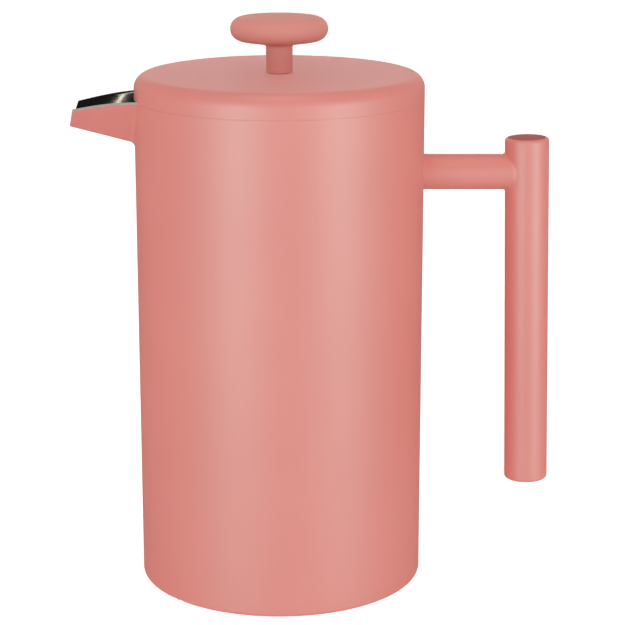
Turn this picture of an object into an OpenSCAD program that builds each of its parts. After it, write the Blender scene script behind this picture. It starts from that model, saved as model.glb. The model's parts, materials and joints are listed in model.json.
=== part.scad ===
// French press, double walled, about one litre.
// Frame: +Z up, origin at the middle of the flat base, spout towards -X, handle towards +X.
// It stands as stored: lid on, plunger pressed right down.

/* [Pot] */
// Outside diameter of the coated body
body_d = 108; // [106:0.5:112]
// Height of the rim above the table
rim_z = 185.3; // [180:0.1:190]
// Thickness of the sheet steel walls
sheet = 0.7; // [0.5:0.1:0.9]
// Gap between the outer wall and the inner liner
wall_gap = 5.1; // [4.5:0.1:5.3]
// Radius of the rounded edge at the foot
foot_r = 1.4; // [1.2:0.1:5]
// Height of the inside floor above the table
floor_z = 7.2; // [6.5:0.1:7.5]

/* [Spout] */
// Reach of the spout's top edge from the pot's axis
spout_reach = 76; // [72:0.5:80]
// Half width of the spout's opening at its tip
spout_tip_w = 11; // [8:0.1:12]
// Widening of the half width per mm towards the pot
spout_flare = 0.235; // [0.2:0.005:0.26]
// Height of the tip's top edge below the rim
spout_drop = 3.7; // [3:0.1:4.5]
// Depth of the tip from its top edge to its keel
spout_tip_depth = 7.2; // [6:0.1:8]
// Slope of the keel, rise per mm outwards
keel_slope = 0.257; // [0.2:0.005:0.28]
// Thickness of the spout's sheet
spout_t = 1; // [0.8:0.1:1.2]

/* [Handle] */
// Diameter of the horizontal arm tube, coated
arm_d = 13.3; // [12:0.1:14]
// Height of the arm's axis
arm_z = 157.2; // [150:0.1:160]
// Diameter of the upright grip tube, coated
grip_d = 16.5; // [16:0.1:18]
// Distance of the grip's axis from the pot's axis, at the arm
grip_x = 92.8; // [90:0.1:96]
// Outward lean of the grip, degrees
grip_lean = 1.2; // [0:0.1:2]
// Length of grip above the arm's axis
grip_up = 13; // [11:0.1:15]
// Length of grip below the arm's axis
grip_down = 120.8; // [110:0.1:125]
// Wall of both handle tubes, and the rounding of the grip's ends
tube_t = 1.2; // [1:0.1:1.8]

/* [Lid] */
// Height of the lid above the rim
lid_h = 9.1; // [8.5:0.1:11]
// Radius of the lid's rounded top edge
lid_edge_r = 5; // [3:0.5:6]
// Gap of the seam between the lid and the rim
seam = 0.15; // [0.15:0.05:0.5]
// Depth of the strainer skirt below the rim
skirt_depth = 17.3; // [15:0.1:19]
// Number of strainer slots facing the spout
slot_count = 13; // [9:2:15]

/* [Plunger] */
// Diameter of the plunger rod
rod_d = 5; // [4.8:0.1:5.2]
// Diameter of the knob's head
knob_d = 36.2; // [34:0.1:38]
// Diameter of the knob's neck
neck_d = 9.9; // [9.5:0.1:11]
// Height of the knob's widest circle above the lid
knob_mid = 16.4; // [15:0.1:18]
// Radius of the knob's rounded rim
knob_rim_r = 4.3; // [4:0.1:4.8]

/* [Filter] */
// Height of the hub's underside above the inside floor
filter_clear = 7.8; // [7.5:0.1:12]
// Radius of the coil spring's wire turns, across the ring
spring_r = 2.2; // [2:0.1:2.3]
// Gap between the edge spring and the liner
spring_gap = 0.3; // [0.25:0.05:0.4]

/* [Hidden] */

$fn = 96;

// colours
coral = "#d98c82";
coral_dark = "#a8625c";
steel = "#b9bcbe";
steel_dark = "#8f9396";
brass = "#b99a55";

// body of the pot
body_r = body_d / 2;
wall_in_r = body_r - sheet;
liner_out_r = wall_in_r - wall_gap;
liner_in_r = liner_out_r - sheet;
base_r = body_r - 8;
base_t = 1.2;
groove_r = 30;
groove_w = 2;
groove_depth = 0.4;
liner_floor_r = 6;
rim_roll_r = 3.8;

// spout
tip_top_z = rim_z - spout_drop;
tip_slant = 2.3;
keel_tip_x = spout_reach + tip_slant;
keel_tip_z = tip_top_z - spout_tip_depth;
spout_top_slope = 0.22;
spout_root_x = 44;
spout_far_x = 81;
keel_r_tip = 3;
keel_r_root = 5.5;
spout_cut = 8;

// end discs of the grip, let in a hair below the tube's ends
cap_t = 1.5;
cap_inset = 0.2;
cap_crown = 0.4;

// lid
lid_top_z = rim_z + lid_h;
lid_low_z = rim_z + seam;
lid_t = 0.8;
pan_z = lid_low_z + lid_t;
skirt_r = liner_in_r - 0.5;
skirt_low_z = rim_z - skirt_depth;
lip_in_r = body_r - 5;
slot_pitch = 5.2;
slot_w = 2.2;
slot_h = 10;
slot_low_z = skirt_low_z + 3;

// rod bush in the lid
fit = 0.06;
rod_r = rod_d / 2;
bush_bore_r = rod_r + fit;
bush_r = 4;
bush_shoulder_r = 5.5;
bush_low_z = pan_z - 5.6;
washer_t = 1;
washer_r = 8.5;
clamp_gap = 0.1;
nut_h = 4;
nut_af = 13;

// knob
knob_low_z = lid_top_z + 0.3;
knob_mid_z = lid_top_z + knob_mid;
knob_rim_c = knob_d / 2 - knob_rim_r;
knob_dome = 0.45;
knob_cone = 1.4;
neck_fillet = 1.2;
insert_r = 3.4;
insert_h = 8;
insert_gap = 0.2;
thread_len = 6.1;

// filter stack, from the hub up
hub_low_z = floor_z + filter_clear;
hub_h = 6;
hub_r = 6.2;
plate_t = 0.8;
stack_gap = 0.3;
plate_z = hub_low_z + hub_h;
mesh_z = plate_z + plate_t + stack_gap;
mesh_t = 0.4;
disc_z = mesh_z + mesh_t + stack_gap;
collar_z = disc_z + plate_t;
collar_h = 6;
collar_af = 8;
hub_floor = 0.6;
rod_low_z = hub_low_z + hub_floor + stack_gap;
rod_top_z = knob_low_z + insert_gap + thread_len;
rod_tip = 0.6;
spring_c_r = liner_in_r - spring_gap - spring_r;
spring_z = disc_z + 2.3;
disc_rim_r = spring_c_r - 0.6;
disc_rim_z = spring_z - plate_t / 2;
disc_flat_r = 37;
disc_step_r = 39.5;
plate_r = 43.5;
plate_roll_r = 2.5;
mesh_r = 46.2;

// across-corners radius of a hexagon from its width across flats
function hex_r(af) = af / 2 / cos(30);

// spout lines at distance x from the pot's axis
function spout_w(x) = spout_tip_w + spout_flare * (spout_reach - x);
function spout_top(x) = tip_top_z + spout_top_slope * (spout_reach - x);
function keel(x) = keel_tip_z - keel_slope * (keel_tip_x - x);

// solid of revolution outline of a cup: flat bottom, rounded lower edge
module cup_outline(r, z0, z1, edge) {
  translate([0, z0]) square([r - edge, z1 - z0]);
  translate([0, z0 + edge]) square([r, z1 - z0 - edge]);
  translate([r - edge, z0 + edge]) circle(edge);
}

// the part of a profile that lies on the +X side of the axis
module right_half() {
  intersection() {
    children();
    translate([0, -200]) square([200, 600]);
  }
}

// flat ring
module ring(r_in, r_out, z0, z1) {
  translate([0, 0, z0]) difference() {
    cylinder(r = r_out, h = z1 - z0);
    translate([0, 0, -1]) cylinder(r = r_in, h = z1 - z0 + 2);
  }
}

// circle of upright holes
module hole_circle(count, hole_r, pcr, z) {
  for (i = [0 : count - 1])
    rotate([0, 0, (i + 0.5) * 360 / count])
      translate([pcr, 0, z]) cylinder(r = hole_r, h = 10, center = true, $fn = 32);
}

// one cross-section of the spout, as a thin slab at distance x
module spout_section(x, inset, rise, keel_r) {
  w = spout_w(x) - inset;
  top = spout_top(x);
  translate([-x, 0, 0]) rotate([90, 0, 90]) linear_extrude(0.01) {
    polygon([[-w, top], [-w, top + rise], [w, top + rise], [w, top]]);
    translate([0, keel(x) + keel_r]) circle(keel_r - inset, $fn = 32);
  }
}

// wedge that the spout's sheet wraps; inset makes the inside one
module spout_wedge(inset, rise) {
  hull() {
    spout_section(spout_root_x, inset, rise, keel_r_root);
    spout_section(spout_far_x, inset, rise, keel_r_tip);
  }
}

// side view of the spout: level at the rim, then down to a slanted tip
module spout_side_view() {
  level_x = spout_reach - spout_drop / spout_top_slope;
  slant = tip_slant / spout_tip_depth;
  rotate([90, 0, 0]) linear_extrude(60, center = true)
    polygon([
      [-spout_root_x, keel_tip_z - 20], [-spout_root_x, rim_z], [-level_x, rim_z],
      [-spout_reach, tip_top_z], [-spout_reach - slant * 12, tip_top_z - 12],
      [-spout_reach, keel_tip_z - 20]
    ]);
}

// everything that sits on the grip's own axis
module on_grip() {
  translate([grip_x, 0, arm_z]) rotate([0, -grip_lean, 0]) children();
}

// the grip tube's outline: rounded at both ends
module grip_outline() {
  edge = tube_t;
  r = grip_d / 2;
  translate([0, -grip_down]) square([r - edge, grip_down + grip_up]);
  translate([0, edge - grip_down]) square([r, grip_down + grip_up - 2 * edge]);
  translate([r - edge, edge - grip_down]) circle(edge);
  translate([r - edge, grip_up - edge]) circle(edge);
}

module outer_wall() {
  color(coral) difference() {
    rotate_extrude() right_half() difference() {
      cup_outline(body_r, 0, rim_z, foot_r);
      cup_outline(wall_in_r, sheet, rim_z + 1, foot_r - sheet);
      translate([0, -1]) square([base_r, 3]);
    }
    spout_wedge(0, spout_cut);
  }
}

module base_disc() {
  color(steel) difference() {
    cylinder(r = base_r, h = base_t);
    ring(groove_r, groove_r + groove_w, -1, groove_depth);
  }
}

module inner_liner() {
  roll_c = liner_in_r + rim_roll_r;
  color(steel) difference() {
    rotate_extrude() {
      right_half() difference() {
        cup_outline(liner_out_r, floor_z - sheet, rim_z - rim_roll_r, liner_floor_r + sheet);
        cup_outline(liner_in_r, floor_z, rim_z + 1, liner_floor_r);
      }
      intersection() {
        translate([roll_c, rim_z - rim_roll_r]) difference() {
          circle(rim_roll_r);
          circle(rim_roll_r - sheet);
        }
        translate([liner_in_r, rim_z - rim_roll_r]) square(rim_roll_r);
      }
      translate([roll_c, rim_z - sheet]) square([wall_in_r - roll_c, sheet]);
    }
    spout_wedge(spout_t, spout_cut);
    difference() {
      spout_wedge(0, spout_cut);
      cylinder(r = liner_out_r, h = rim_z + 20);
    }
  }
}

module spout() {
  color(coral) difference() {
    intersection() {
      spout_wedge(0, 3);
      spout_side_view();
    }
    spout_wedge(spout_t, spout_cut);
    cylinder(r = liner_out_r, h = rim_z + 20);
  }
}

module handle_arm() {
  color(coral) difference() {
    translate([body_r - 5, 0, arm_z]) rotate([0, 90, 0])
      difference() {
        cylinder(d = arm_d, h = grip_x - body_r + 5);
        translate([0, 0, -1]) cylinder(r = arm_d / 2 - tube_t, h = grip_x);
      }
    cylinder(r = body_r, h = rim_z);
    on_grip() cylinder(d = grip_d, h = 40, center = true);
  }
}

module handle_grip() {
  color(coral) on_grip() difference() {
    rotate_extrude() right_half() grip_outline();
    translate([0, 0, -grip_down - 1])
      cylinder(r = grip_d / 2 - tube_t, h = grip_down + grip_up + 2);
  }
}

// end disc of the grip tube, centred at height z on the grip's axis
module grip_cap(z, up) {
  r = grip_d / 2 - tube_t;
  crown_r = (r * r + cap_crown * cap_crown) / (2 * cap_crown);
  color(coral_dark) on_grip() translate([0, 0, z]) rotate([up ? 0 : 180, 0, 0])
    rotate_extrude() right_half() {
      translate([0, -cap_t]) square([r, cap_t]);
      intersection() {
        translate([0, cap_crown - crown_r]) circle(crown_r, $fn = 360);
        translate([0, -cap_t / 2]) square([r, cap_t]);
      }
    }
}

module grip_cap_top() {
  grip_cap(grip_up - cap_inset, true);
}

module grip_cap_bottom() {
  grip_cap(cap_inset - grip_down, false);
}

// solid of revolution outline of a lid: flat bottom, rounded top edge
module lid_outline(r, top, edge) {
  square([r - edge, top]);
  square([r, top - edge]);
  intersection() {
    translate([r - edge, top - edge]) circle(edge);
    square([r, top]);
  }
}

module lid_shell() {
  color(coral) difference() {
    rotate_extrude() right_half() difference() {
      translate([0, lid_low_z]) lid_outline(body_r, lid_top_z - lid_low_z, lid_edge_r);
      translate([0, pan_z])
        lid_outline(body_r - lid_t, lid_top_z - lid_t - pan_z, lid_edge_r - lid_t);
      translate([0, lid_low_z - 1]) square([lip_in_r, 3]);
    }
    translate([0, 0, lid_top_z]) cylinder(r = bush_r + fit, h = 4 * lid_t, center = true);
  }
}

module lid_pan() {
  color(steel) ring(bush_r + fit, body_r - lid_t - 0.2, pan_z, pan_z + lid_t);
}

module strainer_skirt() {
  half = (slot_count - 1) / 2;
  color(steel) difference() {
    ring(skirt_r - lid_t, skirt_r, skirt_low_z, pan_z);
    for (i = [-half : half])
      rotate([0, 0, 180 + i * slot_pitch])
        translate([skirt_r - 3, -slot_w / 2, slot_low_z]) cube([6, slot_w, slot_h]);
  }
}

module rod_bush() {
  color(steel_dark) difference() {
    union() {
      translate([0, 0, bush_low_z]) cylinder(r = bush_r, h = lid_top_z - bush_low_z);
      translate([0, 0, pan_z + lid_t + clamp_gap])
        cylinder(r = bush_shoulder_r, h = lid_h - seam - 3 * lid_t - 2 * clamp_gap);
    }
    translate([0, 0, bush_low_z - 1]) cylinder(r = bush_bore_r, h = 40);
  }
}

module bush_washer() {
  color(steel) ring(bush_r, washer_r, pan_z - clamp_gap - washer_t, pan_z - clamp_gap);
}

module bush_nut() {
  nut_z = pan_z - clamp_gap - washer_t - nut_h;
  color(steel) translate([0, 0, nut_z]) difference() {
    cylinder(r = hex_r(nut_af), h = nut_h, $fn = 6);
    translate([0, 0, -1]) cylinder(r = bush_r, h = nut_h + 2);
  }
}

module plunger_rod() {
  color(steel) rotate_extrude() polygon([
    [0, rod_low_z], [rod_r - rod_tip, rod_low_z], [rod_r, rod_low_z + rod_tip],
    [rod_r, rod_top_z - rod_tip], [rod_r - rod_tip, rod_top_z], [0, rod_top_z]
  ]);
}

module knob() {
  neck_r = neck_d / 2;
  under_z = knob_mid_z - knob_rim_r;
  top_z = knob_mid_z + knob_rim_r;
  dome_r = (knob_rim_c * knob_rim_c + knob_dome * knob_dome) / (2 * knob_dome);
  color(coral) difference() {
    rotate_extrude() right_half() {
      translate([0, knob_low_z]) square([neck_r, knob_mid_z - knob_low_z]);
      translate([0, under_z]) square([knob_rim_c, 2 * knob_rim_r]);
      translate([knob_rim_c, knob_mid_z]) circle(knob_rim_r);
      polygon([
        [0, under_z - knob_cone], [neck_r + neck_fillet, under_z - knob_cone],
        [knob_rim_c, under_z], [0, under_z]
      ]);
      translate([neck_r, under_z - knob_cone - neck_fillet]) difference() {
        square(neck_fillet);
        translate([neck_fillet, 0]) circle(neck_fillet);
      }
      intersection() {
        translate([0, top_z + knob_dome - dome_r]) circle(dome_r, $fn = 360);
        translate([0, top_z - 1]) square([knob_rim_c, 2]);
      }
    }
    translate([0, 0, knob_low_z - 1]) cylinder(r = insert_r, h = insert_h + insert_gap + 1);
  }
}

module knob_insert() {
  color(brass) translate([0, 0, knob_low_z + insert_gap]) difference() {
    cylinder(r = insert_r - fit, h = insert_h - clamp_gap);
    translate([0, 0, -1]) cylinder(r = bush_bore_r, h = insert_h);
  }
}

module rod_collar() {
  color(steel) translate([0, 0, collar_z]) difference() {
    cylinder(r = hex_r(collar_af), h = collar_h, $fn = 6);
    translate([0, 0, -1]) cylinder(r = rod_r, h = collar_h + 2);
  }
}

module spring_disc() {
  color(steel) difference() {
    rotate_extrude() polygon([
      [rod_r, disc_z], [disc_flat_r, disc_z], [disc_step_r, disc_rim_z],
      [disc_rim_r, disc_rim_z], [disc_rim_r, disc_rim_z + plate_t],
      [disc_step_r - 0.3, disc_rim_z + plate_t], [disc_flat_r - 0.3, disc_z + plate_t],
      [rod_r, disc_z + plate_t]
    ]);
    hole_circle(6, 2.5, 12, disc_z);
    hole_circle(10, 4, 21.5, disc_z);
    hole_circle(16, 3.2, 31.5, disc_z);
  }
}

module edge_spring() {
  slot = plate_t + 0.6;
  color(steel_dark) rotate_extrude() difference() {
    translate([spring_c_r, spring_z]) circle(spring_r);
    translate([spring_c_r - spring_r - 1, spring_z - slot / 2]) square([spring_r + 0.8, slot]);
  }
}

module mesh_screen() {
  color(steel_dark) ring(rod_r + 0.3, mesh_r, mesh_z, mesh_z + mesh_t);
}

module cross_plate() {
  roll_c = plate_r - plate_roll_r;
  color(steel) difference() {
    rotate_extrude() {
      translate([bush_bore_r, plate_z]) square([roll_c - bush_bore_r, plate_t]);
      intersection() {
        translate([roll_c, plate_z + plate_t - plate_roll_r]) difference() {
          circle(plate_roll_r);
          circle(plate_roll_r - plate_t);
        }
        translate([roll_c, plate_z + plate_t - plate_roll_r]) square(plate_roll_r);
      }
    }
    hole_circle(8, 2.2, 11.5, plate_z);
    hole_circle(8, 6.3, 23.5, plate_z);
    hole_circle(24, 2.3, 35.5, plate_z);
  }
}

module hub_nut() {
  color(steel) difference() {
    rotate_extrude() right_half() cup_outline(hub_r, hub_low_z, plate_z, 1.5);
    translate([0, 0, hub_low_z + hub_floor]) cylinder(r = bush_bore_r, h = hub_h);
  }
}

outer_wall();
base_disc();
inner_liner();
spout();
handle_arm();
handle_grip();
grip_cap_top();
grip_cap_bottom();
lid_shell();
lid_pan();
strainer_skirt();
rod_bush();
bush_washer();
bush_nut();
plunger_rod();
knob();
knob_insert();
rod_collar();
spring_disc();
edge_spring();
mesh_screen();
cross_plate();
hub_nut();
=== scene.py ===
"""French press: double-walled steel pot in a coral powder coat, on a pale studio floor."""
import json
import math

import bpy
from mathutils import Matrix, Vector

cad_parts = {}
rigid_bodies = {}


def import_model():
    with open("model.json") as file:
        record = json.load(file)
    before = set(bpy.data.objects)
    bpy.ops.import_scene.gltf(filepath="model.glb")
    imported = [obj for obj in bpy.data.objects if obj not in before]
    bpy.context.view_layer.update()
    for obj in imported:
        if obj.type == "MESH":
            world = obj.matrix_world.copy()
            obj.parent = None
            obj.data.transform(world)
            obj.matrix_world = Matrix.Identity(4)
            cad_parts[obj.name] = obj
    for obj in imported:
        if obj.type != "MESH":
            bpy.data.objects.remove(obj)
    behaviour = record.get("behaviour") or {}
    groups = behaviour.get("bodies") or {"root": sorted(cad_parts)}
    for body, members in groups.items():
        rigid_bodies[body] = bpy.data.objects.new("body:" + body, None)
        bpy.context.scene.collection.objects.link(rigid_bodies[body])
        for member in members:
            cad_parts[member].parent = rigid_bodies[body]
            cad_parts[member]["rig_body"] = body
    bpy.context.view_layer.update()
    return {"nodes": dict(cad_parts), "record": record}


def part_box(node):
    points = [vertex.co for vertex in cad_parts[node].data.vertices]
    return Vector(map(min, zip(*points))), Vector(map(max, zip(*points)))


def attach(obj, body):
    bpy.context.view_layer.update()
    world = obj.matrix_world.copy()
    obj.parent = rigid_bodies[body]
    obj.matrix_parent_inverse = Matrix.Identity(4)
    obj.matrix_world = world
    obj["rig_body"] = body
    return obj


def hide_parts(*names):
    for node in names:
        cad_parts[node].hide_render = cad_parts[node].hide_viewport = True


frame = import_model()
nodes = frame["nodes"]

MM = 0.001

# ---------------------------------------------------------------- sizes, from the frame

_, wall_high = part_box("outer_wall")
spring_low, spring_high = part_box("edge_spring")
screen_low, screen_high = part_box("mesh_screen")
arm_low, arm_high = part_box("handle_arm")
rod_low, rod_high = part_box("plunger_rod")
grip_low, grip_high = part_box("handle_grip")

BODY_R = wall_high.x
RIM_Z = wall_high.z
ARM_R = (arm_high.z - arm_low.z) / 2
ARM_Z = (arm_high.z + arm_low.z) / 2
SPRING_TUBE_R = (spring_high.z - spring_low.z) / 2
SPRING_RING_R = spring_high.x - SPRING_TUBE_R
SPRING_Z = (spring_high.z + spring_low.z) / 2
ROD_R = rod_high.x
GRIP_R = (grip_high.y - grip_low.y) / 2
GRIP_LEAN = math.radians(1.2)
GRIP_X = 92.8 * MM          # the grip's axis at the arm's height
SCREEN_R = screen_high.x
SCREEN_Z = (screen_low.z + screen_high.z) / 2


# ---------------------------------------------------------------- material helpers

def paint(hex_colour):
    """An sRGB hex colour as linear light, with full cover."""
    def linear(c):
        return c / 12.92 if c <= 0.04045 else ((c + 0.055) / 1.055) ** 2.4
    parts = [int(hex_colour[i:i + 2], 16) / 255 for i in (1, 3, 5)]
    return (*[linear(c) for c in parts], 1.0)


def add(material, kind, settings=None, **links):
    """Adds one shader node, sets its values and links its inputs to other nodes' outputs."""
    tree = material.node_tree
    shader_node = tree.nodes.new(kind)
    for key, value in (settings or {}).items():
        if isinstance(key, str) and hasattr(shader_node, key):
            setattr(shader_node, key, value)
        else:
            shader_node.inputs[key].default_value = value
    for key, source in links.items():
        slot_name = key.replace("_", " ")
        target = next((s for s in shader_node.inputs if s.name == slot_name), None)
        if target is None:
            target = shader_node.inputs[int(key.lstrip("i"))]
        tree.links.new(source, target)
    return shader_node


def new_material(name):
    """A new material and its Principled shader, linked to the output."""
    material = bpy.data.materials.new(name)
    material.use_nodes = True
    material.node_tree.nodes.clear()
    shader = add(material, "ShaderNodeBsdfPrincipled")
    add(material, "ShaderNodeOutputMaterial", None, Surface=shader.outputs["BSDF"])
    return material, shader


def link(material, source, target):
    material.node_tree.links.new(source, target)


COAT_DRIFT = 55 * MM
COAT_PEEL = 1.6 * MM
COAT_GRIT = 0.35 * MM
COAT_GLOSS_TINT = "#aefffb"


def powder_coat(name, base_hex, shade_hex, roughness, gloss):
    """Polyester powder coat, sprayed and baked on steel: an even satin colour that drifts a
    little over a few centimetres, with a faint orange-peel swell a millimetre or two across
    and a finer grit on top of it. Its gloss is a shade cooler than the lamps."""
    material, shader = new_material(name)
    shader.inputs["Specular IOR Level"].default_value = gloss
    shader.inputs["Specular Tint"].default_value = paint(COAT_GLOSS_TINT)
    place = add(material, "ShaderNodeTexCoord").outputs["Object"]
    cloud = add(material, "ShaderNodeTexNoise", {"Scale": 1 / COAT_DRIFT, "Detail": 3.0}, Vector=place)
    tone = add(material, "ShaderNodeValToRGB", None, Fac=cloud.outputs["Fac"])
    tone.color_ramp.elements[0].position = 0.3
    tone.color_ramp.elements[0].color = paint(shade_hex)
    tone.color_ramp.elements[1].position = 0.7
    tone.color_ramp.elements[1].color = paint(base_hex)
    link(material, tone.outputs["Color"], shader.inputs["Base Color"])
    peel = add(material, "ShaderNodeTexNoise", {"Scale": 1 / COAT_PEEL, "Detail": 2.0}, Vector=place)
    grit = add(material, "ShaderNodeTexNoise", {"Scale": 1 / COAT_GRIT, "Detail": 1.0}, Vector=place)
    satin = add(material, "ShaderNodeMapRange",
                {"To Min": roughness - 0.04, "To Max": roughness + 0.05}, Value=grit.outputs["Fac"])
    link(material, satin.outputs["Result"], shader.inputs["Roughness"])
    swell = add(material, "ShaderNodeBump", {"Strength": 0.10, "Distance": 0.05 * MM},
                Height=peel.outputs["Fac"])
    fine = add(material, "ShaderNodeBump", {"Strength": 0.12, "Distance": 0.02 * MM},
               Height=grit.outputs["Fac"], Normal=swell.outputs["Normal"])
    link(material, fine.outputs["Normal"], shader.inputs["Normal"])
    return material


STEEL_CLOUD = 25 * MM
STEEL_MOTTLE = 8 * MM
GRAIN_STRETCH = (0.15, 1.0, 1.0)


def spun_steel(name, base_hex, roughness, ring_mm, strength):
    """Metal turned or spun about the pot's axis: fine rings that follow the radius and the
    height, so that highlights stretch across them, and a sheen that varies a little. The
    rings are drawn a few times wider than a lathe leaves them, so that they show."""
    material, shader = new_material(name)
    shader.inputs["Metallic"].default_value = 1.0
    place = add(material, "ShaderNodeTexCoord").outputs["Object"]
    parts = add(material, "ShaderNodeSeparateXYZ", None, Vector=place)
    flat = add(material, "ShaderNodeCombineXYZ", None, X=parts.outputs["X"], Y=parts.outputs["Y"])
    radius = add(material, "ShaderNodeVectorMath", {"operation": "LENGTH"}, Vector=flat.outputs["Vector"])
    rings_at = add(material, "ShaderNodeCombineXYZ", None,
                   X=radius.outputs["Value"], Z=parts.outputs["Z"])
    rings = add(material, "ShaderNodeTexNoise", {"Scale": 1 / (ring_mm * MM), "Detail": 3.0},
                Vector=rings_at.outputs["Vector"])
    cloud = add(material, "ShaderNodeTexNoise", {"Scale": 1 / STEEL_CLOUD, "Detail": 2.0}, Vector=place)
    tone = add(material, "ShaderNodeMapRange", {"To Min": 0.86, "To Max": 1.0}, Value=rings.outputs["Fac"])
    colour = add(material, "ShaderNodeMix", {"data_type": "RGBA", "blend_type": "MULTIPLY", 0: 1.0})
    colour.inputs[6].default_value = paint(base_hex)
    link(material, tone.outputs["Result"], colour.inputs[7])
    link(material, colour.outputs[2], shader.inputs["Base Color"])
    blur = add(material, "ShaderNodeMapRange",
               {"To Min": roughness - 0.02, "To Max": roughness + 0.03}, Value=cloud.outputs["Fac"])
    link(material, blur.outputs["Result"], shader.inputs["Roughness"])
    bump = add(material, "ShaderNodeBump", {"Strength": strength, "Distance": 0.02 * MM},
               Height=rings.outputs["Fac"])
    link(material, bump.outputs["Normal"], shader.inputs["Normal"])
    return material


def bright_steel(name, base_hex, roughness, grain_mm):
    """Stainless steel as drawn, pressed or polished: smooth, from satin to a mirror, with a
    faint long grain left by the polishing wheel and a mottle of slightly darker patches."""
    material, shader = new_material(name)
    shader.inputs["Metallic"].default_value = 1.0
    place = add(material, "ShaderNodeTexCoord").outputs["Object"]
    along = add(material, "ShaderNodeMapping", {"Scale": GRAIN_STRETCH}, Vector=place)
    grain = add(material, "ShaderNodeTexNoise", {"Scale": 1 / (grain_mm * MM), "Detail": 3.0},
                Vector=along.outputs["Vector"])
    cloud = add(material, "ShaderNodeTexNoise", {"Scale": 1 / STEEL_MOTTLE, "Detail": 3.0}, Vector=place)
    tone = add(material, "ShaderNodeValToRGB", None, Fac=cloud.outputs["Fac"])
    tone.color_ramp.elements[0].color = [0.85 * c for c in paint(base_hex)[:3]] + [1.0]
    tone.color_ramp.elements[1].color = paint(base_hex)
    link(material, tone.outputs["Color"], shader.inputs["Base Color"])
    blur = add(material, "ShaderNodeMapRange",
               {"To Min": max(roughness - 0.04, 0.03), "To Max": roughness + 0.06},
               Value=grain.outputs["Fac"])
    link(material, blur.outputs["Result"], shader.inputs["Roughness"])
    bump = add(material, "ShaderNodeBump", {"Strength": 0.05, "Distance": 0.01 * MM},
               Height=grain.outputs["Fac"])
    link(material, bump.outputs["Normal"], shader.inputs["Normal"])
    return material


PAPER_MOTTLE = 300 * MM
PAPER_GLOW = 0.32


def studio_floor(name):
    """A sheet of matt white paper lit from below: pale, with a very faint mottle."""
    material, shader = new_material(name)
    place = add(material, "ShaderNodeTexCoord").outputs["Object"]
    cloud = add(material, "ShaderNodeTexNoise", {"Scale": 1 / PAPER_MOTTLE, "Detail": 4.0}, Vector=place)
    tone = add(material, "ShaderNodeValToRGB", None, Fac=cloud.outputs["Fac"])
    tone.color_ramp.elements[0].color = paint("#f4f3f2")
    tone.color_ramp.elements[1].color = paint("#f8f7f6")
    link(material, tone.outputs["Color"], shader.inputs["Base Color"])
    shader.inputs["Roughness"].default_value = 0.9
    shader.inputs["Emission Color"].default_value = (1, 1, 1, 1)
    shader.inputs["Emission Strength"].default_value = PAPER_GLOW
    return material


# The coat on pot, spout, handle and lid: even satin coral with a soft, broad highlight.
coral_coat = powder_coat("coral_powder_coat", "#c86e64", "#c56a60", 0.54, 1.0)
# The grip's end discs: a darker and drier coat, with hardly any highlight.
plug_coat = powder_coat("dark_coral_end_plug", "#994a42", "#94463e", 0.75, 0.3)
# The knob's coat, rougher than the pot's, so it looks almost one colour all over. It is the pot's coral,
# painted paler and less red: a painted sheen in place of the highlight that it no longer catches.
knob_painted_sheen_coat = powder_coat("matt_coral_knob_painted_sheen_coat", "#c5776c", "#c27368", 0.72, 0.7)
# Stainless sheet spun over a former: pale grey, with rings that catch the light.
# Metals are given a roughness and the width of their rings or grain in millimetres.
liner_steel = spun_steel("spun_liner_steel", "#c9cbcc", 0.28, 0.35, 0.3)
# Stainless bar, turned and ground: brighter and smoother, with hardly a ring to see.
turned_steel = spun_steel("turned_rod_steel", "#c6c8ca", 0.22, 0.25, 0.06)
# Stainless sheet as pressed: satin grey, with blurred reflections.
pressed_steel = bright_steel("pressed_filter_steel", "#c2c4c6", 0.24, 0.3)
# Stainless sheet polished to a mirror, with one pale streak. Its colour is a painted reflection: nearly
# black, the dark of a room that it would mirror, painted in because plain steel looks grey in this light.
spout_painted_reflection = bright_steel("polished_spout_painted_reflection", "#24221e", 0.09, 0.5)
# The spout's edge as ground: pale and blurred, a light line round the mouth.
cut_steel = bright_steel("ground_edge_steel", "#d9d6d0", 0.35, 0.2)
# Drawn spring wire: bright, with a small highlight on each turn.
wire_steel = bright_steel("drawn_spring_wire", "#bfc2c4", 0.2, 0.3)
# Woven wire, duller than the spring's: an even grey.
cloth_steel = bright_steel("woven_wire_cloth", "#a9adb0", 0.32, 0.3)
# Turned brass: a soft yellow with fine rings.
turned_brass = spun_steel("turned_insert_brass", "#c9a45c", 0.25, 0.25, 0.2)

FINISH = {
    "coated_steel": coral_coat,
    "coated_steel_dark": plug_coat,
    "brushed_steel": liner_steel,
    "turned_steel": turned_steel,
    "pressed_steel": pressed_steel,
    "spring_steel": wire_steel,
    "woven_steel": cloth_steel,
    "brass": turned_brass,
}


def coat_cad_nodes():
    """Gives every CAD node the finish of its material slot."""
    for part in frame["record"]["subparts"]:
        piece = nodes[part["node"]]
        piece.data.materials.clear()
        piece.data.materials.append(FINISH[part["material_slot"]])
    # The knob takes the rougher coat, whose paler colour is a painted sheen.
    nodes["knob"].data.materials[0] = knob_painted_sheen_coat


coat_cad_nodes()


# ---------------------------------------------------------------- modelling helpers

MERGE_GAP = 0.001 * MM


def take(piece):
    """Makes one piece the only selected and active object."""
    bpy.ops.object.select_all(action="DESELECT")
    piece.select_set(True)
    bpy.context.view_layer.objects.active = piece


def settle(piece):
    """Puts the piece's place, turn and size into its mesh."""
    take(piece)
    bpy.ops.object.transform_apply(location=True, rotation=True, scale=True)


def finish_piece(piece, name, material, body, angle):
    """Names a piece, gives it its finish, smooths edges flatter than the angle, in degrees,
    and lets it ride on its body."""
    settle(piece)
    piece.name = name
    piece.data.name = name
    if not piece.data.materials:
        piece.data.materials.append(material)
    bpy.ops.object.shade_smooth_by_angle(angle=math.radians(angle))
    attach(piece, body)


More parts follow.
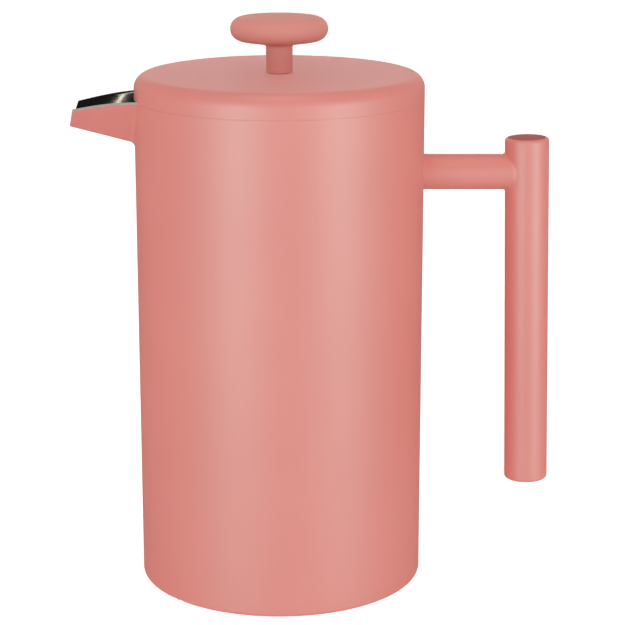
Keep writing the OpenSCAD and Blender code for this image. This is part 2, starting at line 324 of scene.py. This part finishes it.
def wire_runs(name, runs, radius, corners, closed):
    """Round wires along lists of points, as one mesh. Corners adds sides to the wire's round."""
    curve = bpy.data.curves.new(name, "CURVE")
    curve.dimensions = "3D"
    curve.bevel_depth = radius
    curve.bevel_resolution = corners
    for points in runs:
        spline = curve.splines.new("POLY")
        spline.points.add(len(points) - 1)
        for spot, place in zip(spline.points, points):
            spot.co = (*place, 1.0)
        spline.use_cyclic_u = closed
    piece = bpy.data.objects.new(name, curve)
    bpy.context.scene.collection.objects.link(piece)
    take(piece)
    bpy.ops.object.convert(target="MESH")
    return bpy.context.object


# ---------------------------------------------------------------- pieces from the CAD nodes

EASE_ANGLE = math.radians(40)
LEVEL_ANGLE = math.radians(0.3)
LOWEST_BAND = 0.01 * MM


def ease_edges(node, width, low_reach=0.0):
    """Stands for a CAD node with a copy whose sharp edges are eased, as after deburring, and
    whose flat faces shade flat. Its lowest edge may reach a hair further down, to close a
    seam."""
    name = node + "_eased"
    source = nodes[node]
    piece = bpy.data.objects.new(name, source.data.copy())
    bpy.context.scene.collection.objects.link(piece)
    take(piece)
    bpy.ops.object.mode_set(mode="EDIT")
    bpy.ops.mesh.customdata_custom_splitnormals_clear()
    bpy.ops.mesh.select_all(action="SELECT")
    bpy.ops.mesh.remove_doubles(threshold=MERGE_GAP)
    bpy.ops.mesh.dissolve_limited(angle_limit=LEVEL_ANGLE)
    bpy.ops.object.mode_set(mode="OBJECT")
    lowest = min(v.co.z for v in piece.data.vertices)
    for vertex in piece.data.vertices:
        if vertex.co.z < lowest + LOWEST_BAND:
            vertex.co.z -= low_reach
    bevel = piece.modifiers.new("eased_edges", "BEVEL")
    bevel.width = width
    bevel.segments = 2
    bevel.limit_method = "ANGLE"
    bevel.angle_limit = EASE_ANGLE
    bevel.use_clamp_overlap = True
    bpy.ops.object.modifier_apply(modifier=bevel.name)
    slot = next(p["material_slot"] for p in frame["record"]["subparts"] if p["node"] == node)
    finish_piece(piece, name, FINISH[slot], source["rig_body"], 30)
    flats = piece.modifiers.new("flats_shade_flat", "WEIGHTED_NORMAL")
    flats.keep_sharp = True
    take(piece)
    bpy.ops.object.modifier_apply(modifier=flats.name)
    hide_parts(node)


# ---------------------------------------------------------------- spout

SPOUT_REACH = 76 * MM       # the tip's top edge, from the pot's axis
SPOUT_TIP_W = 11 * MM       # half the tip's width
SPOUT_FLARE = 0.235         # how fast the half width grows towards the pot
SPOUT_DROP = 3.7 * MM       # the tip's top edge, below the rim
SPOUT_TOP_SLOPE = 0.22
SPOUT_TOP_EASE = 2.4 * MM   # rounds the slope over into the rim's height
SPOUT_T = 1.0 * MM
SPOUT_EDGE = 0.2 * MM       # the ground edge's easing
TIP_DEPTH = 7.2 * MM
TIP_SLANT = 2.3 * MM        # how far the tip's keel stands out past its top edge
KEEL_SLOPE = 0.257
KEEL_R_TIP = 3 * MM
KEEL_R_ROOT = 5.5 * MM
ROOT_X = 44 * MM            # where the keel's radius is KEEL_R_ROOT
FAR_X = 81 * MM             # the sheet before its tip is cut
SIDE_SHARE = 0.36           # each straight side's share of the section line
LINER_OUT_R = 48.2 * MM
ROOT_GAP = 0.05 * MM        # keeps the sheet's root clear of the liner


def eased_low(a, b, ease):
    """The lower of two heights, with the corner between them rounded over."""
    h = min(max(0.5 + 0.5 * (b - a) / ease, 0.0), 1.0)
    return b + (a - b) * h - ease * h * (1 - h)


def spout_line(x, share):
    """A point (y, z) of the spout's outer section at distance x. Share runs from 0 at the
    near top edge, down and round the keel, to 1 at the far top edge."""
    tip_z = RIM_Z - SPOUT_DROP
    half_w = SPOUT_TIP_W + SPOUT_FLARE * (SPOUT_REACH - x)
    top = eased_low(tip_z + SPOUT_TOP_SLOPE * (SPOUT_REACH - x), RIM_Z, SPOUT_TOP_EASE)
    keel = tip_z - TIP_DEPTH - KEEL_SLOPE * (SPOUT_REACH + TIP_SLANT - x)
    keel_r = KEEL_R_ROOT + (KEEL_R_TIP - KEEL_R_ROOT) * (x - ROOT_X) / (FAR_X - ROOT_X)
    centre_z = keel + keel_r
    reach = math.hypot(half_w, top - centre_z)
    touch = math.atan2(top - centre_z, half_w) - math.acos(keel_r / reach)
    if share <= SIDE_SHARE or share >= 1 - SIDE_SHARE:
        t = min(share, 1 - share) / SIDE_SHARE
        y = half_w + (keel_r * math.cos(touch) - half_w) * t
        z = top + (centre_z + keel_r * math.sin(touch) - top) * t
        return (-y if share <= SIDE_SHARE else y), z
    t = (share - SIDE_SHARE) / (1 - 2 * SIDE_SHARE)
    turn = math.pi - touch + (2 * touch + math.pi) * t
    return keel_r * math.cos(turn), centre_z + keel_r * math.sin(turn)


def spout_point(share, radius):
    """Where the section line at share meets an upright cylinder round the pot's axis."""
    x = radius
    for _ in range(6):
        y, z = spout_line(x, share)
        x = math.sqrt(radius * radius - y * y)
    return Vector((-x, y, z))


def model_spout():
    """The pouring spout: one folded sheet, coated outside, bare and polished inside."""
    along, across = 24, 44
    bpy.ops.mesh.primitive_grid_add(x_subdivisions=along, y_subdivisions=across, size=2)
    sheet = bpy.context.object
    for vertex in sheet.data.vertices:
        out, share = (1 - vertex.co.x) / 2, (vertex.co.y + 1) / 2
        root_x = -spout_point(share, LINER_OUT_R + ROOT_GAP).x
        x = root_x + (FAR_X - root_x) * out
        y, z = spout_line(x, share)
        vertex.co = (-x, y, z)
    take(sheet)
    bpy.ops.object.mode_set(mode="EDIT")
    bpy.ops.mesh.select_all(action="SELECT")
    tip = (-SPOUT_REACH, 0, RIM_Z - SPOUT_DROP)
    tip_face = Vector((-TIP_DEPTH, 0, TIP_SLANT)).normalized()
    bpy.ops.mesh.bisect(plane_co=tip, plane_no=tip_face, threshold=MERGE_GAP, clear_outer=True)
    bpy.ops.mesh.select_all(action="SELECT")
    bpy.ops.mesh.normals_make_consistent(inside=False)
    bpy.ops.object.mode_set(mode="OBJECT")
    middle = sheet.data.polygons[len(sheet.data.polygons) // 2]
    if middle.normal.z > 0:
        sheet.data.flip_normals()
    # The inside's finish is nearly black: a painted reflection of a dark room, not the steel's own colour.
    for finish in (coral_coat, spout_painted_reflection, cut_steel):
        sheet.data.materials.append(finish)
    wall = sheet.modifiers.new("sheet_thickness", "SOLIDIFY")
    wall.thickness = SPOUT_T
    wall.offset = -1
    wall.use_even_offset = True
    wall.material_offset = 1
    wall.material_offset_rim = 2
    bpy.ops.object.modifier_apply(modifier=wall.name)
    edge = sheet.modifiers.new("ground_edge", "BEVEL")
    edge.width = SPOUT_EDGE
    edge.segments = 2
    edge.limit_method = "ANGLE"
    edge.angle_limit = math.radians(60)
    bpy.ops.object.modifier_apply(modifier=edge.name)
    finish_piece(sheet, "spout_sheet", coral_coat, "pot", 40)
    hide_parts("spout")


# ---------------------------------------------------------------- weld fillets

ARM_WALL_WELD = 0.6 * MM
ARM_GRIP_WELD = 1.2 * MM
SPOUT_WELD = 2.1 * MM
WELD_SINK = 0.06 * MM       # tucks a weld's edges under the surfaces it joins
WELD_MERGE = 0.002 * MM


def fillet(name, rows, size, closed):
    """A smooth weld between two surfaces. Each row gives a point of their joint and the two
    directions that lead away from it, one along each surface. An open weld runs out to
    almost nothing over the last sixth of its length at each end."""
    steps = 6
    count = len(rows)
    bpy.ops.mesh.primitive_grid_add(x_subdivisions=count, y_subdivisions=steps, size=2)
    weld = bpy.context.object
    for vertex in weld.data.vertices:
        i = round((vertex.co.x + 1) / 2 * count)
        j = round((vertex.co.y + 1) / 2 * steps)
        point, a, b = rows[i % count if closed else min(i, count - 1)]
        turn = math.pi / 2 * j / steps
        sunk = point - WELD_SINK * (a + b)
        here = size if closed else size * min(1.0, 0.02 + 6 * min(i, count - i) / count)
        vertex.co = sunk + here * ((1 - math.sin(turn)) * a + (1 - math.cos(turn)) * b)
    take(weld)
    bpy.ops.object.mode_set(mode="EDIT")
    bpy.ops.mesh.select_all(action="SELECT")
    bpy.ops.mesh.remove_doubles(threshold=WELD_MERGE)
    bpy.ops.mesh.normals_make_consistent(inside=False)
    bpy.ops.object.mode_set(mode="OBJECT")
    _, a, b = rows[0]
    if weld.data.polygons[0].normal.dot(a + b) < 0:
        weld.data.flip_normals()
    finish_piece(weld, name, coral_coat, "pot", 80)


def on_surface(direction, normal):
    """The part of a direction that lies in the surface with that normal, as a unit vector."""
    return (direction - direction.dot(normal) * normal).normalized()


def arm_welds():
    """The coated welds at the two ends of the handle's arm."""
    wall_rows, grip_rows = [], []
    steps = 72
    for i in range(steps):
        t = 2 * math.pi * i / steps
        y, dz = ARM_R * math.cos(t), ARM_R * math.sin(t)
        out = Vector((0, math.cos(t), math.sin(t)))
        x = math.sqrt(BODY_R * BODY_R - y * y)
        wall_rows.append((Vector((x, y, ARM_Z + dz)), Vector((1, 0, 0)),
                          on_surface(out, Vector((x, y, 0)).normalized())))
        axis_x = GRIP_X - dz * math.tan(GRIP_LEAN)
        x = axis_x - math.sqrt(GRIP_R * GRIP_R - y * y)
        normal = Vector((x - axis_x, y, 0)).normalized()
        grip_rows.append((Vector((x, y, ARM_Z + dz)), Vector((-1, 0, 0)), on_surface(out, normal)))
    fillet("arm_wall_weld", wall_rows, ARM_WALL_WELD, True)
    fillet("arm_grip_weld", grip_rows, ARM_GRIP_WELD, True)


def spout_weld():
    """The coated weld round the spout where it meets the wall."""
    steps = 60
    probe = 3 * MM
    rows = []
    for i in range(steps + 1):
        share = 0.01 + 0.98 * i / steps
        here = spout_point(share, BODY_R)
        ahead = spout_point(min(share + 0.01, 1), BODY_R)
        behind = spout_point(max(share - 0.01, 0), BODY_R)
        path = (ahead - behind).normalized()
        wall_normal = Vector((here.x, here.y, 0)).normalized()
        further = Vector((-(BODY_R + probe), *spout_line(BODY_R + probe, share)))
        nearer = Vector((-(BODY_R - probe), *spout_line(BODY_R - probe, share)))
        sheet_line = (further - nearer).normalized()
        along = (sheet_line - sheet_line.dot(path) * path).normalized()
        down = path.cross(wall_normal).normalized()
        if down.z > 0:
            down = -down
        rows.append((here, along, down))
    fillet("spout_weld", rows, SPOUT_WELD, False)


# ---------------------------------------------------------------- edge spring and mesh

COIL_TURNS = 150
COIL_WIRE_R = 0.42 * MM
CLOTH_PITCH = 1.6 * MM
CLOTH_WIRE_R = 0.22 * MM
CLOTH_HOLE_R = ROD_R + 0.4 * MM
CLOTH_END_GAP = 0.1         # a wire's last stretch is left out below this share of the pitch


def edge_coil():
    """The filter's edge spring: one close coil of wire bent into a ring."""
    steps = 12
    coil_r = SPRING_TUBE_R - COIL_WIRE_R
    points = []
    for i in range(COIL_TURNS * steps):
        around = 2 * math.pi * i / (COIL_TURNS * steps)
        across = 2 * math.pi * i / steps
        r = SPRING_RING_R + coil_r * math.cos(across)
        points.append((r * math.cos(around), r * math.sin(around), SPRING_Z + coil_r * math.sin(across)))
    coil = wire_runs("edge_coil", [points], COIL_WIRE_R, 2, True)
    finish_piece(coil, "edge_coil", wire_steel, "spring_ring", 80)
    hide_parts("edge_spring")


def cloth_wire(offset, k, crossways):
    """The points of one wire of the cloth, in one run, or two where the rod's hole parts it. It
    goes over and under the wires that it crosses, one every pitch."""
    half = math.sqrt(SCREEN_R * SCREEN_R - offset * offset)
    reach = half / CLOTH_PITCH
    steps = int(reach)
    spans = [(-steps, steps)]
    if abs(offset) < CLOTH_HOLE_R:
        inner = int(math.sqrt(CLOTH_HOLE_R * CLOTH_HOLE_R - offset * offset) / CLOTH_PITCH) + 1
        spans = [(-steps, -inner), (inner, steps)]
    for first, last in spans:
        places = [i / 2 for i in range(2 * first, 2 * last + 1)]
        if first == -steps and reach > steps + CLOTH_END_GAP:
            places.insert(0, -reach)
        if last == steps and reach > steps + CLOTH_END_GAP:
            places.append(reach)
        if len(places) < 2:
            continue
        points = []
        for i in places:
            lift = CLOTH_WIRE_R * math.cos(math.pi * (i + k)) * (1 if crossways else -1)
            along = i * CLOTH_PITCH
            x, y = (offset, along) if crossways else (along, offset)
            points.append((x, y, SCREEN_Z + lift))
        yield points


def mesh_cloth():
    """The filter's wire cloth, plain woven, with its folded rim and eyelet. The real cloth has
    about six wires to the millimetre; it is drawn coarser, so that the weave shows."""
    count = int(SCREEN_R / CLOTH_PITCH)
    runs = []
    for crossways in (False, True):
        for k in range(-count, count + 1):
            runs.extend(cloth_wire(k * CLOTH_PITCH, k, crossways))
    cloth = wire_runs("mesh_cloth", runs, CLOTH_WIRE_R, 0, False)
    finish_piece(cloth, "mesh_cloth", cloth_steel, "screen", 80)
    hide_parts("mesh_screen")
    for name, ring_r, wall in (("mesh_rim", SCREEN_R - 0.3 * MM, 0.35 * MM),
                               ("mesh_eyelet", CLOTH_HOLE_R + 0.4 * MM, 0.32 * MM)):
        bpy.ops.mesh.primitive_torus_add(major_radius=ring_r, minor_radius=wall, major_segments=128,
                                         minor_segments=12, location=(0, 0, SCREEN_Z))
        finish_piece(bpy.context.object, name, cloth_steel, "screen", 80)


# ---------------------------------------------------------------- threaded rod

THREAD_PITCH = 0.8 * MM
THREAD_LEN = 6.4 * MM
THREAD_INSET = 0.42 * MM    # the ridge's middle, inside the rod's radius
RIDGE_SHARE = 0.46          # half the ridge's height, as a share of the pitch
THREAD_STEPS = 24
ROD_CHAMFER = 0.35 * MM
THREAD_CORE_STEP = 0.1 * MM
HUB_THREAD_START = 0.3 * MM


def thread(name, low_z):
    """A rolled thread: one ridge that climbs a pitch each turn, closed at both ends."""
    turns = int(THREAD_LEN / THREAD_PITCH) - 1
    half = THREAD_PITCH * RIDGE_SHARE
    bpy.ops.mesh.primitive_circle_add(vertices=4, radius=half, rotation=(math.pi / 2, 0, 0),
                                      location=(ROD_R - THREAD_INSET, 0, low_z + half))
    ridge = bpy.context.object
    settle(ridge)
    climb = ridge.modifiers.new("climb", "SCREW")
    climb.axis = "Z"
    climb.screw_offset = THREAD_PITCH
    climb.iterations = turns
    climb.steps = THREAD_STEPS
    climb.render_steps = THREAD_STEPS
    climb.use_merge_vertices = True
    climb.merge_threshold = MERGE_GAP
    bpy.ops.object.modifier_apply(modifier=climb.name)
    bpy.ops.object.mode_set(mode="EDIT")
    bpy.ops.mesh.select_mode(type="EDGE")
    bpy.ops.mesh.select_all(action="DESELECT")
    bpy.ops.mesh.select_non_manifold()
    bpy.ops.mesh.fill_holes(sides=0)
    bpy.ops.mesh.select_all(action="SELECT")
    bpy.ops.mesh.normals_make_consistent(inside=False)
    bpy.ops.object.mode_set(mode="OBJECT")
    finish_piece(ridge, name, turned_steel, "plunger", 30)


def threaded_rod():
    """The plunger rod: ground bar with chamfered ends and a short thread on a thinner core at
    each end."""
    shank_low = rod_low.z + THREAD_LEN
    shank_high = rod_high.z - THREAD_LEN
    bpy.ops.mesh.primitive_cylinder_add(vertices=48, radius=ROD_R, depth=shank_high - shank_low,
                                        location=(0, 0, (shank_low + shank_high) / 2))
    rod = bpy.context.object
    settle(rod)
    bpy.ops.object.mode_set(mode="EDIT")
    bpy.ops.mesh.select_all(action="DESELECT")
    bpy.ops.mesh.select_mode(type="FACE")
    bpy.ops.object.mode_set(mode="OBJECT")
    for face in rod.data.polygons:
        face.select = abs(face.normal.z) > 0.9
    bpy.ops.object.mode_set(mode="EDIT")
    bpy.ops.mesh.inset(thickness=ROD_CHAMFER, depth=ROD_CHAMFER)
    bpy.ops.mesh.inset(thickness=THREAD_CORE_STEP)
    bpy.ops.mesh.inset(thickness=0.0001 * MM, depth=THREAD_LEN - 2 * ROD_CHAMFER)
    bpy.ops.mesh.inset(thickness=ROD_CHAMFER, depth=ROD_CHAMFER)
    bpy.ops.object.mode_set(mode="OBJECT")
    finish_piece(rod, "threaded_rod", turned_steel, "plunger", 30)
    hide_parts("plunger_rod")
    thread("knob_thread", rod_high.z - THREAD_LEN)
    thread("hub_thread", rod_low.z + HUB_THREAD_START)


model_spout()
spout_weld()
arm_welds()
edge_coil()
mesh_cloth()
threaded_rod()
# The lid's coat reaches down over most of the seam, which then shows as a hairline.
ease_edges("lid_shell", 0.06 * MM, low_reach=0.1 * MM)
for node, width in (("lid_pan", 0.2 * MM), ("strainer_skirt", 0.2 * MM),
                    ("bush_nut", 0.4 * MM), ("bush_washer", 0.25 * MM), ("rod_bush", 0.25 * MM),
                    ("rod_collar", 0.35 * MM), ("spring_disc", 0.2 * MM), ("cross_plate", 0.2 * MM),
                    ("base_disc", 0.2 * MM), ("grip_cap_top", 0.2 * MM),
                    ("grip_cap_bottom", 0.2 * MM)):
    ease_edges(node, width)


# ---------------------------------------------------------------- studio

FLOOR_SIZE = 14             # metres


def add_floor():
    """A wide sheet of white paper. It is left out of reflections and throws no shadow."""
    bpy.ops.mesh.primitive_plane_add(size=FLOOR_SIZE, location=(0, 0, 0))
    floor = bpy.context.object
    floor.name = "floor"
    floor.data.materials.append(studio_floor("matt_white_paper"))
    floor.visible_glossy = False
    floor.visible_shadow = False


def add_softbox(name, azimuth, elevation, distance, width, height, watts, aim, lights):
    """A soft area light. Azimuth 0 is on the camera's side, positive towards the handle. It
    lights either the gloss of things or their colour, so that each is set by itself. Colour
    lights throw no shadow, and neither does a veil, which is the sheen of a far wall."""
    light = bpy.data.lights.new(name, "AREA")
    light.shape = "RECTANGLE"
    light.size = width
    light.size_y = height
    light.energy = watts
    lamp = bpy.data.objects.new(name, light)
    bpy.context.scene.collection.objects.link(lamp)
    a, e = math.radians(azimuth), math.radians(elevation)
    way = Vector((math.sin(a) * math.cos(e), -math.cos(a) * math.cos(e), math.sin(e)))
    lamp.location = Vector(aim) + way * distance
    lamp.rotation_mode = "QUATERNION"
    lamp.rotation_quaternion = (-way).to_track_quat("-Z", "Y")
    lamp.visible_diffuse = lights == "colour"
    lamp.visible_glossy = lights != "colour"
    light.use_shadow = lights == "gloss"
    light.cycles.use_multiple_importance_sampling = lights == "gloss"


def add_world(seen, spread, front, back, ceiling):
    """The studio's air: white where it is seen and softer on matt surfaces. In reflections its
    lower half goes from front, on the camera's side, to back, behind the pot; above the
    horizon it has the front's level all round, up to the ceiling's."""
    world = bpy.data.worlds.new("studio_air")
    bpy.context.scene.world = world
    world.use_nodes = True
    path = add(world, "ShaderNodeLightPath")
    way = add(world, "ShaderNodeTexCoord").outputs["Generated"]
    parts = add(world, "ShaderNodeSeparateXYZ", None, Vector=way)
    # The ranges are on the unit sphere: front to back, a band at the horizon, and the ceiling.
    depth = add(world, "ShaderNodeMapRange", {"From Min": -0.6, "From Max": 0.6,
                                              "To Min": front, "To Max": back},
                Value=parts.outputs["Y"])
    low = add(world, "ShaderNodeMapRange", {"From Min": -0.12, "From Max": 0.08},
              Value=parts.outputs["Z"])
    walls = add(world, "ShaderNodeMix", {3: front}, Factor=low.outputs["Result"],
                A=depth.outputs["Result"])
    high = add(world, "ShaderNodeMapRange", {"From Min": 0.35, "From Max": 0.65},
               Value=parts.outputs["Z"])
    mirrored = add(world, "ShaderNodeMix", {3: ceiling}, Factor=high.outputs["Result"],
                   A=walls.outputs[0])
    matt = add(world, "ShaderNodeMix", {2: spread, 3: seen}, Factor=path.outputs["Is Camera Ray"])
    level = add(world, "ShaderNodeMix", None, Factor=path.outputs["Is Glossy Ray"],
                A=matt.outputs[0], B=mirrored.outputs[0])
    world.node_tree.nodes["Background"].inputs["Color"].default_value = (1, 1, 1, 1)
    link(world, level.outputs[0], world.node_tree.nodes["Background"].inputs["Strength"])


CAMERA_PLACE = (0.0123, -0.7707, 0.3045)
CAMERA_DIP = 14.69          # degrees below level
CAMERA_LENS = 120.08        # millimetres


def add_camera():
    """A long lens at eye height over a table, looking a little down at the pot."""
    data = bpy.data.cameras.new("studio_camera")
    data.sensor_width = 36
    data.lens = CAMERA_LENS
    camera = bpy.data.objects.new("studio_camera", data)
    bpy.context.scene.collection.objects.link(camera)
    camera.location = CAMERA_PLACE
    camera.rotation_euler = (math.radians(90 - CAMERA_DIP), 0, 0)
    bpy.context.scene.camera = camera


add_floor()
for lamp_row in (
    # name, azimuth, elevation, distance, width, height, watts, aim, lights
    ("left_strip", -31, -1, 1.3, 0.44, 0.42, 11, (0, 0, 0.14), "gloss"),
    ("right_strip", 47, -1, 1.3, 0.44, 0.42, 10.5, (0, 0, 0.14), "gloss"),
    ("back_panel", 180, 16, 1.3, 1.0, 0.4, 1.9, (0, 0, 0.19), "veil"),
    ("spout_kicker", -22.9, 74.6, 0.4, 0.005, 0.12, 0.3, (0.028, 0.006, 0.178), "gloss"),
    ("left_fill", -50, 5, 2.0, 1.2, 1.2, 13, (0, 0, 0.1), "colour"),
    ("right_fill", 62, 5, 2.0, 1.2, 1.2, 14, (0, 0, 0.1), "colour"),
    ("overhead", 0, 85, 1.6, 1.6, 1.6, 12, (0, 0, 0.2), "colour"),
):
    add_softbox(*lamp_row)
add_world(seen=1.05, spread=0.68, front=0.42, back=0.08, ceiling=0.5)
add_camera()
bpy.context.scene.view_settings.view_transform = "Standard"
